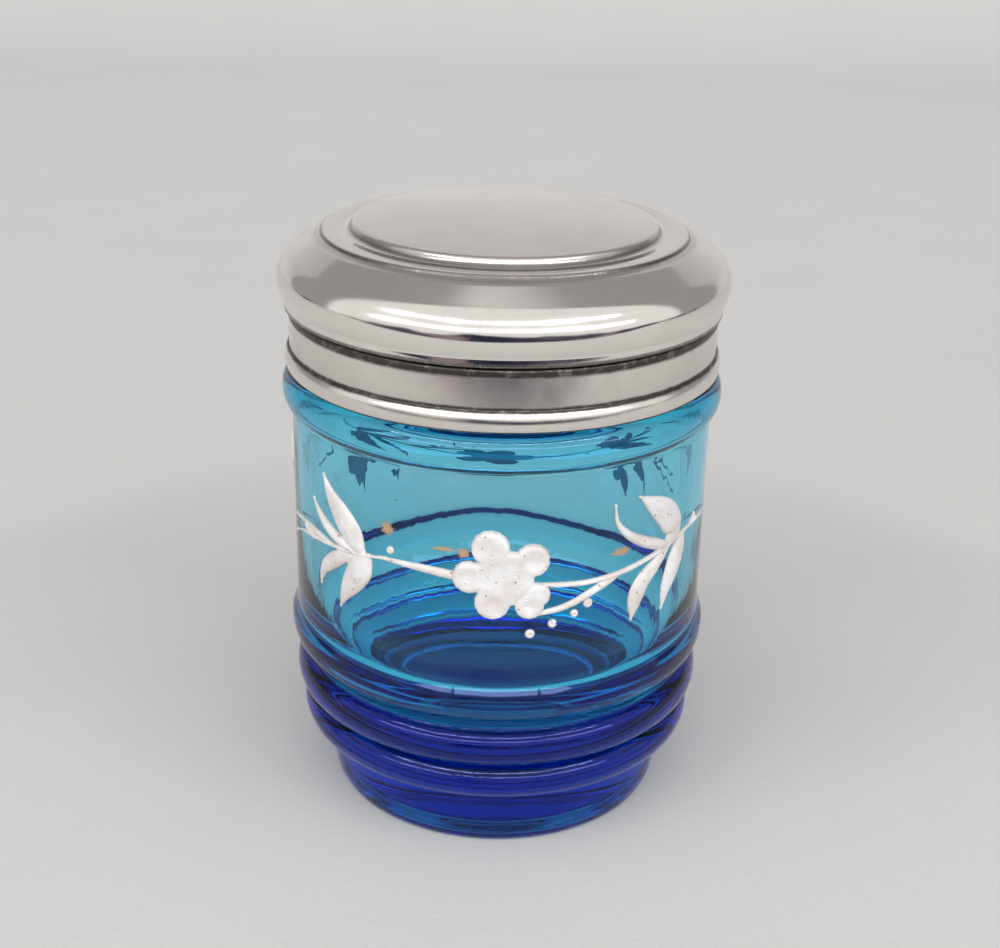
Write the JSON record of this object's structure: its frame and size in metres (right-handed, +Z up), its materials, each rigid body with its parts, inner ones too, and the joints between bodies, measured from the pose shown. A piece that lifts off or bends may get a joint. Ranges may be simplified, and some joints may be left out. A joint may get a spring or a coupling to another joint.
{
  "type": "glass dressing table jar",
  "caption": "Small round glass jar with swelling rings at its foot and shoulder, raised white enamel flowers, a metal collar and a domed metal lid that lifts off.",
  "frame": {"origin": "centre of the jar's foot, on the surface that it stands on", "axes": "+Z up through the centre of the lid, -Y towards the front of the garland"},
  "size_m": [0.0656, 0.0656, 0.09],
  "materials": {
    "blue_glass": "clear, fire-polished, slightly wavy",
    "cement": "matt plaster",
    "collar_plate": "soft worn polish, tarnished in the hollows",
    "lid_plate": "bright worn polish with fine scratches",
    "inner_metal": "dull, toned",
    "white_enamel": "satin gloss, pitted"
  },
  "bodies": {
    "jar": {"glass_jar": "blue_glass", "cement_ring": "cement", "collar": "collar_plate", "enamel_flower_front": "white_enamel", "enamel_branch_left_front": "white_enamel", "enamel_branch_right_front": "white_enamel", "enamel_dot_front_1": "white_enamel", "enamel_dot_front_2": "white_enamel", "enamel_dot_front_3": "white_enamel", "enamel_dot_front_4": "white_enamel", "enamel_dot_front_5": "white_enamel", "enamel_flower_back": "white_enamel", "enamel_branch_left_back": "white_enamel", "enamel_branch_right_back": "white_enamel", "enamel_dot_back_1": "white_enamel", "enamel_dot_back_2": "white_enamel", "enamel_dot_back_3": "white_enamel", "enamel_dot_back_4": "white_enamel", "enamel_dot_back_5": "white_enamel", "enamel_leaf_left": "white_enamel", "enamel_leaf_right": "white_enamel"},
    "lid": {"lid_shell": "lid_plate", "lid_guide_ring": "inner_metal"}
  },
  "joints": [
    {"name": "lid_lift", "type": "slide", "parent": "jar", "child": "lid", "axis": [0, 0, 1], "range_m": [0, 0.03]}
  ]
}
